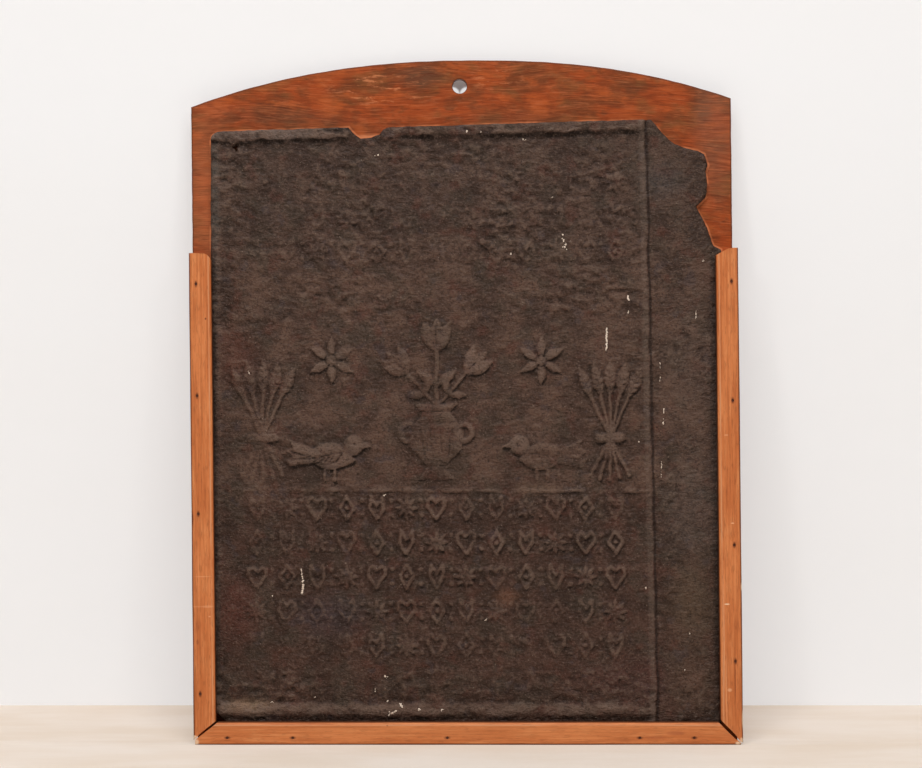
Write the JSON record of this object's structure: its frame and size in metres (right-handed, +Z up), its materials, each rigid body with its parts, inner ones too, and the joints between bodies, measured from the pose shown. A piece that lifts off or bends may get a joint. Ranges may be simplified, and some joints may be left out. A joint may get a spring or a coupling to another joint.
{
  "type": "framed stove plate",
  "caption": "Cast-iron stove plate with a broken corner and worn relief, held by mitred rebated strips on an arched plywood board with a hanging hole.",
  "frame": {"origin": "middle of the bottom, where the framed plate stands, halfway through its depth", "axes": "+X to the right seen from the front, +Y from the front towards the wall, +Z up"},
  "size_m": [0.6104, 0.032, 0.756],
  "materials": {
    "board": "stained softwood plywood, satin",
    "strips": "stained straight-grained pine, satin",
    "iron": "old brown-black cast iron, worn and dull",
    "nails": "darkened finish nails, set below the wood"
  },
  "bodies": {
    "root": {"stove_plate": "iron", "backboard": "board", "left_strip": "strips", "right_strip": "strips", "bottom_strip": "strips", "left_strip_nails": "nails", "right_strip_nails": "nails", "bottom_strip_nails": "nails"}
  },
  "joints": []
}
